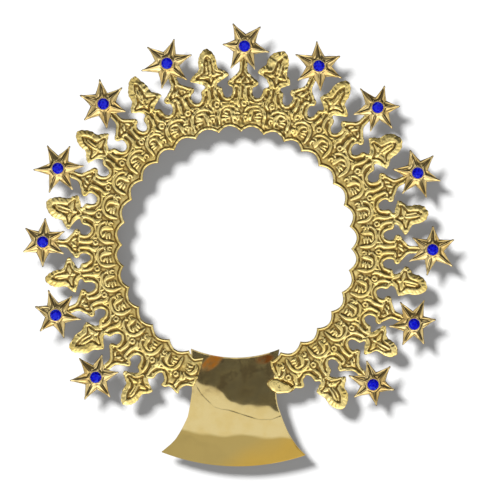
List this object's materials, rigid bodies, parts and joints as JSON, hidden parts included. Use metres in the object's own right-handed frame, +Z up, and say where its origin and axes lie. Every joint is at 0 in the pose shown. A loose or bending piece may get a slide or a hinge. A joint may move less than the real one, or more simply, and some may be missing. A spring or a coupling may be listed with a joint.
{
  "type": "statue halo",
  "caption": "Open ring halo for a devotional statue: stamped brass scrollwork with alternating leaves and stars, a round blue stone on each star, and a flared plain mounting plate.",
  "frame": {"origin": "on the flat back face of the mounting plate, on the plate's own centre line, 87 mm below the centre of the ring's opening", "axes": "+Z up the halo from the plate to the top star, -Y out of the decorated front, +Y out of the plate's back, +X to the viewer's right"},
  "size_m": [0.2284, 0.0047, 0.2348],
  "materials": {
    "plate_brass": "mirror-polished sheet with heat tarnish at the solder joints",
    "stamped_brass": "bright embossed sheet, darker in the recesses",
    "star_brass": "bright pressed sheet",
    "blue_glass": "faceted, deep blue, foil-backed",
    "solder": "dull tin solder"
  },
  "bodies": {
    "root": {"base_plate": "plate_brass", "ring_segment_1": "stamped_brass", "ring_segment_2": "stamped_brass", "ring_segment_3": "stamped_brass", "ring_segment_4": "stamped_brass", "ring_segment_5": "stamped_brass", "ring_segment_6": "stamped_brass", "ring_segment_7": "stamped_brass", "star_01": "star_brass", "star_02": "star_brass", "star_03": "star_brass", "star_04": "star_brass", "star_05": "star_brass", "star_06": "star_brass", "star_07": "star_brass", "star_08": "star_brass", "star_09": "star_brass", "star_10": "star_brass", "star_11": "star_brass", "star_12": "star_brass", "star_13": "star_brass", "stone_01": "blue_glass", "stone_02": "blue_glass", "stone_03": "blue_glass", "stone_04": "blue_glass", "stone_05": "blue_glass", "stone_06": "blue_glass", "stone_07": "blue_glass", "stone_08": "blue_glass", "stone_09": "blue_glass", "stone_10": "blue_glass", "stone_11": "blue_glass", "stone_12": "blue_glass", "stone_13": "blue_glass", "ring_lap_solder": "solder", "plate_joint_solder": "solder", "star_joint_solder": "solder"}
  },
  "joints": []
}
